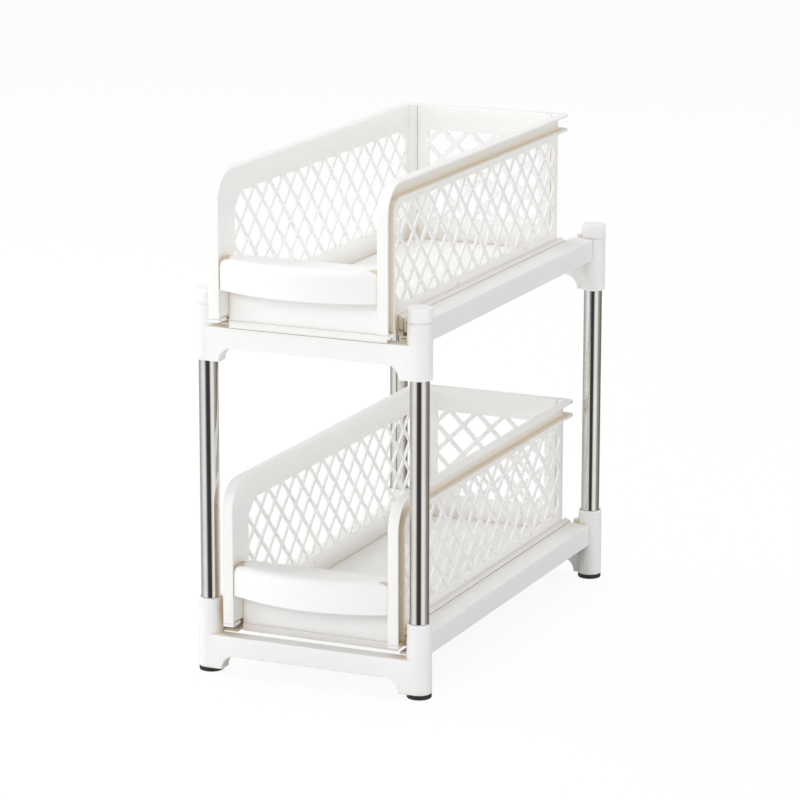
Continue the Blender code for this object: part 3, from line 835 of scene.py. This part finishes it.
def make_rim(inset, start, has_inner_edge):
    """A rim along the front, the top and the rear corner of a side panel."""
    rings = []
    center = Vector((rim_corner_radius, rim_top - rim_corner_radius))
    for y, z in front_path(inset):
        if z <= center.y:
            down = Vector((0, 1, 0))
        elif y >= center.x:
            down = Vector((0, 0, -1))
        else:
            inwards = (center - Vector((y, z))).normalized()
            down = Vector((0, inwards.x, inwards.y))
        rings.append(rim_section(Vector((start, y, z)), Vector((rim_outer_x, y, z)),
                                 down, has_inner_edge))
    height = rim_top - inset
    down = Vector((0, 0, -1))
    inner_center = (wall_inner - back_corner_radius, straight_end)
    inner_radius = start - inner_center[0]
    outer_center = (rim_outer_x - rim_back_corner_radius, rim_back_y - rim_back_corner_radius)
    inner_arc = arc(inner_center, inner_radius, 0, 90, corner_steps)
    outer_arc = arc(outer_center, rim_back_corner_radius, 0, 90, corner_steps)
    inner_arc.append((return_inner_x, inner_center[1] + inner_radius))
    outer_arc.append((return_inner_x, rim_back_y))
    for inner, outer in zip(inner_arc, outer_arc):
        rings.append(rim_section(Vector((*inner, height)), Vector((*outer, height)),
                                 down, has_inner_edge))
    return skin(rings)


def bend_wall(item):
    """Bend the end of a flat wall, made along Y, round the rear corner and along the back."""
    radius = back_corner_radius + wall / 2
    length = radius * math.pi / 2
    build = bmesh.new()
    build.from_mesh(item.data)
    for step in range(bend_cuts + 1):
        at = (0, straight_end + length * step / bend_cuts, 0)
        geometry = build.verts[:] + build.edges[:] + build.faces[:]
        bmesh.ops.bisect_plane(build, geom=geometry, plane_co=at, plane_no=(0, 1, 0))
    for vertex in build.verts:
        over = vertex.co.y - straight_end
        if over <= 0:
            continue
        beside = vertex.co.x - wall_middle
        angle = min(over, length) / radius
        along = max(over - length, 0.0)
        reach = radius + beside
        vertex.co.x = wall_middle - radius + reach * math.cos(angle) - along
        vertex.co.y = straight_end + reach * math.sin(angle)
    build.to_mesh(item.data)
    build.free()


def make_side_mesh():
    """The right side of a basket, a lattice wall with two rims that turn the rear corner."""
    hidden = rim_thickness / 2
    bend_length = (back_corner_radius + wall / 2) * math.pi / 2
    flat_end = straight_end + bend_length + (wall_inner - back_corner_radius - return_inner_x)
    front = panel_back + seat_gap
    outline = front_path(hidden)[1:-1]
    outline += [(flat_end, rim_top - hidden), (flat_end, panel_seat), (front, panel_seat),
                (front, strip_bottom + hidden), (hidden, strip_bottom + hidden)]
    holes = lattice_holes(side_window_front, side_window_back, side_window_bottom, side_window_top,
                          side_cells_along, side_cells_up, side_rib, side_window_end, False)
    for start, low in snap_places:
        end = start + snap_width
        high = low + snap_height
        holes.append([(start, low), (end, low), (end, high), (start, high)])
    panel = plate([outline] + holes, wall_inner, wall_inner + wall, "X", wall_edge)
    bend_wall(panel)
    rims = [make_rim(0.0, wall_inner - rim_overlap, True), make_rim(rim_step, wall_middle, False)]
    return settled(join_all(panel, rims))


def make_back_mesh():
    """The back of a basket, a coarser lattice with the same two rims."""
    half = return_inner_x - seat_gap
    rim_half = return_inner_x - rim_overlap
    top = rim_top - rim_thickness / 2
    outline = [(-half, panel_seat), (half, panel_seat), (half, top), (-half, top)]
    window_end = back_window_half - back_rib / 2
    holes = lattice_holes(-back_window_half, back_window_half, back_window_bottom, back_window_top,
                          back_cells_across, back_cells_up, back_rib, window_end, True)
    panel = plate([outline] + holes, back_inner_y, back_outer_y, "Y", wall_edge)
    rims = []
    for inset, start, has_inner_edge in ((0.0, back_inner_y - rim_overlap, True),
                                         (rim_step, back_inner_y + wall / 2, False)):
        height = rim_top - inset
        rims.append(skin([rim_section(Vector((x, start, height)), Vector((x, rim_back_y, height)),
                                      Vector((0, 0, -1)), has_inner_edge)
                          for x in (-rim_half, rim_half)]))
    return settled(join_all(panel, rims))


def hood_plan(inset):
    """Plan of the hood, which runs back past the panel before it is trimmed."""
    bow = handle_end_y - handle_front
    half = panel_half - inset
    front = []
    for step in range(handle_arc_points):
        x = -panel_half + 2 * panel_half * step / (handle_arc_points - 1)
        y = handle_end_y - bow * (1 - (x / panel_half) ** 2) + inset
        front.append((x * half / panel_half, y))
    back = panel_back + handle_edge_radius * 2
    corner = [front[-2], front[-1], (half, back)]
    soft = rounded(corner, handle_corner_radius, corner_steps)
    right = soft[corner_steps + 1:2 * corner_steps + 2]
    left = [(-x, y) for x, y in right[::-1]]
    reach = abs(right[0][0])
    middle = [point for point in front[1:-1] if abs(point[0]) < reach]
    return left + middle + right + [(half, back), (-half, back)]


def make_hood(inset, bottom, top, edge):
    """The hood as a solid with a rounded top edge, trimmed at its underside and at the panel."""
    hood = plate([hood_plan(inset)], bottom - 2 * edge, top, "Z", edge)
    beside = panel_half * 2
    before = handle_front * 3
    beyond = handle_edge_radius * 6
    back = beyond * 2
    below = box((-beside, before, bottom - beyond), (beside, back, bottom))
    behind = box((-beside, panel_front + wall / 2, bottom - beyond), (beside, back, top + beyond))
    return cut_all(hood, [below, behind])


def make_front_mesh():
    """The low front of a basket with its hooded handle."""
    section = [(panel_front, panel_bottom), (panel_back, panel_bottom), (panel_back, panel_top),
               (panel_front, panel_top)]
    panel = plate([section], -panel_half, panel_half, "X", wall_edge / 2)
    hood = make_hood(0.0, handle_bottom, handle_top, handle_edge_radius)
    hollow = make_hood(handle_wall, handle_bottom - handle_wall, handle_top - handle_wall,
                       handle_edge_radius - handle_wall)
    cut_all(hood, [hollow])
    return settled(join_all(panel, [hood]))


def make_tray_mesh():
    """The floor of a basket: a plate with a rim outside the walls, a front lip and two runners.

    Thin ears at the front end of the rims lie under the front strips of the sides.
    """
    back_low = back_outer_y + tray_rim_gap
    back_high = back_low + tray_rim_depth
    tray = box((-tray_half, tray_side_start, tray_base_bottom),
               (tray_half, back_high - tray_edge, tray_base_top))
    half = wall_inner - tray_rim_gap
    front = panel_back + tray_rim_gap
    radius = back_corner_radius - tray_rim_gap
    corner_x = half - radius
    corner_y = back_inner_y - tray_rim_gap - radius
    outline = [(-half, front), (half, front)] + arc((corner_x, corner_y), radius, 0, 90)
    outline += arc((-corner_x, corner_y), radius, 90, 180)
    rim_inner = wall_inner + wall + tray_wall_gap
    lip_back = panel_front + lip_depth
    step_bottom = lip_bottom + skirt_width
    skirt_inner = tray_half - skirt_width
    pieces = [plate([outline], tray_base_bottom + tray_edge, tray_floor, "Z", tray_edge)]
    for low, high in (
            ((-rim_inner, back_low, runner_bottom), (rim_inner, back_high, tray_rim_outer_top)),
            ((-lip_half, panel_front, lip_bottom), (lip_half, lip_back, lip_top)),
            ((-lip_half, panel_back, step_bottom), (lip_half, lip_back, tray_base_top))):
        pieces.append(box(low, high, tray_edge))
    for side in (-1, 1):
        section = [(side * rim_inner, runner_top), (side * tray_half, runner_top),
                   (side * tray_half, tray_rim_outer_top), (side * rim_inner, tray_rim_top)]
        pieces.append(plate([section], tray_side_start, back_high, "Y", tray_edge))
        for inner, outer, start, end, low, high in (
                (ear_inner, ear_outer, ear_front, ear_back, ear_bottom, ear_top),
                (ear_inner, ear_root_outer, ear_root_front, ear_root_back,
                 ear_root_bottom, ear_top),
                (skirt_inner, runner_outer, tray_side_start, runner_end_y,
                 runner_bottom, runner_top),
                (nib_inner, runner_outer, nib_y, nib_y + nib_depth, runner_bottom, nib_top)):
            across = sorted((side * inner, side * outer))
            pieces.append(box((across[0], start, low), (across[1], end, high), tray_edge))
    return settled(join_all(tray, pieces))


def build_baskets():
    """Both baskets, from one set of meshes, and the finish of the rails that they run in."""
    right = make_side_mesh()
    meshes = {"right_side": right, "left_side": mirrored(right, "X"), "back": make_back_mesh(),
              "front": make_front_mesh(), "floor": make_tray_mesh()}
    for level in levels:
        at = (0, basket_y[level], shelf_z[level])
        for part, mesh in meshes.items():
            node = level + "_basket_" + part
            place(mesh, node + "_panel", at, "white_plastic", level + "_basket", node)
        for side in ("left", "right"):
            soften(level + "_" + side + "_rail", rail_edge)


def make_camera():
    """The camera at the photograph's viewing angle."""
    data = bpy.data.cameras.new("camera")
    data.lens = camera_lens
    data.sensor_width = camera_sensor
    data.sensor_fit = "HORIZONTAL"
    data.clip_start, data.clip_end = camera_clip
    camera = link("camera", data)
    turn = (Matrix.Rotation(camera_yaw, 3, "Z")
            @ Matrix.Rotation(math.pi / 2 - camera_pitch, 3, "X")
            @ Matrix.Rotation(camera_roll, 3, "Z"))
    camera.rotation_euler = turn.to_euler()
    camera.location = camera_place
    scene.camera = camera


def panel_ramp(nodes, links, direction):
    """The colours of the studio panels, for a direction in the world."""
    turn = nodes.new("ShaderNodeVectorRotate")
    turn.rotation_type = "Z_AXIS"
    turn.inputs["Angle"].default_value = math.pi / 2 - camera_yaw
    links.new(direction, turn.inputs["Vector"])
    split = nodes.new("ShaderNodeSeparateXYZ")
    links.new(turn.outputs["Vector"], split.inputs[0])
    angle = calculate(nodes, links, "ARCTAN2", split.outputs["Y"], split.outputs["X"])
    ramp = nodes.new("ShaderNodeValToRGB")
    links.new(map_range(nodes, links, angle, -math.pi, math.pi, 0, 1), ramp.inputs["Fac"])
    elements = ramp.color_ramp.elements
    while len(elements) > 1:
        elements.remove(elements[-1])
    for index, (degrees, color) in enumerate(studio_panels):
        position = (degrees + 180) / 360
        element = elements[0] if index == 0 else elements.new(position)
        element.position = position
        element.color = (*color, 1)
    return ramp.outputs["Color"]


def make_world():
    """White to the camera, studio panels in reflections and an even soft light elsewhere."""
    world = bpy.data.worlds.new("studio")
    scene.world = world
    world.use_nodes = True
    nodes = world.node_tree.nodes
    links = world.node_tree.links
    background = nodes["Background"]
    path = nodes.new("ShaderNodeLightPath")
    direction = nodes.new("ShaderNodeTexCoord").outputs["Generated"]
    color = mix_color(nodes, links, path.outputs["Is Glossy Ray"], (*soft_light_color, 1),
                      panel_ramp(nodes, links, direction))
    links.new(color, background.inputs["Color"])
    seen = path.outputs["Is Camera Ray"]
    for other in ("Is Glossy Ray", "Is Transmission Ray"):
        seen = calculate(nodes, links, "MAXIMUM", seen, path.outputs[other])
    slope = nodes.new("ShaderNodeVectorMath")
    slope.operation = "DOT_PRODUCT"
    slope.inputs[1].default_value = Vector(soft_light_from).normalized() * soft_light_rise
    links.new(direction, slope.inputs[0])
    rise = calculate(nodes, links, "MAXIMUM", slope.outputs["Value"], 0.0)
    soft = calculate(nodes, links, "ADD", rise, ambient_level)
    links.new(map_range(nodes, links, seen, 0, 1, soft, 1.0), background.inputs["Strength"])


def make_floor():
    """A pale floor that shows white and keeps a faint shadow of the object."""
    mesh = bpy.data.meshes.new("studio_floor")
    build = bmesh.new()
    bmesh.ops.create_grid(build, x_segments=1, y_segments=1, size=floor_size / 2)
    build.to_mesh(mesh)
    build.free()
    floor = link("studio_floor", mesh)
    floor.visible_glossy = False
    material = bpy.data.materials.new("studio_floor_look")
    material.use_nodes = True
    nodes = material.node_tree.nodes
    links = material.node_tree.links
    shader = nodes["Principled BSDF"]
    shader.inputs["Base Color"].default_value = (floor_tone, floor_tone, floor_tone, 1)
    shader.inputs["Roughness"].default_value = floor_roughness
    shader.inputs["Specular IOR Level"].default_value = 0.0
    glow = nodes.new("ShaderNodeEmission")
    glow.inputs["Strength"].default_value = floor_glow
    path = nodes.new("ShaderNodeLightPath")
    seen = calculate(nodes, links, "MAXIMUM", path.outputs["Is Camera Ray"],
                     path.outputs["Is Transmission Ray"])
    mix = nodes.new("ShaderNodeMixShader")
    links.new(map_range(nodes, links, seen, 0, 1, 0.0, floor_glow_share), mix.inputs[0])
    links.new(shader.outputs[0], mix.inputs[1])
    links.new(glow.outputs[0], mix.inputs[2])
    links.new(mix.outputs[0], nodes["Material Output"].inputs["Surface"])
    mesh.materials.append(material)


def add_light(name, location, width, height, watts):
    """A softbox that faces the middle of the rack."""
    data = bpy.data.lights.new(name, "AREA")
    data.shape = "RECTANGLE"
    data.size = width
    data.size_y = height
    data.energy = watts
    data.color = soft_light_color
    light = link(name, data)
    light.location = location
    middle = (solid_low + solid_high) / 2
    light.rotation_euler = (Vector(location) - middle).to_track_quat("Z", "Y").to_euler()
    light.visible_glossy = False


build_stand()
build_baskets()
make_camera()
make_world()
make_floor()
for softbox in softboxes:
    add_light(*softbox)
scene.view_settings.view_transform = "Standard"
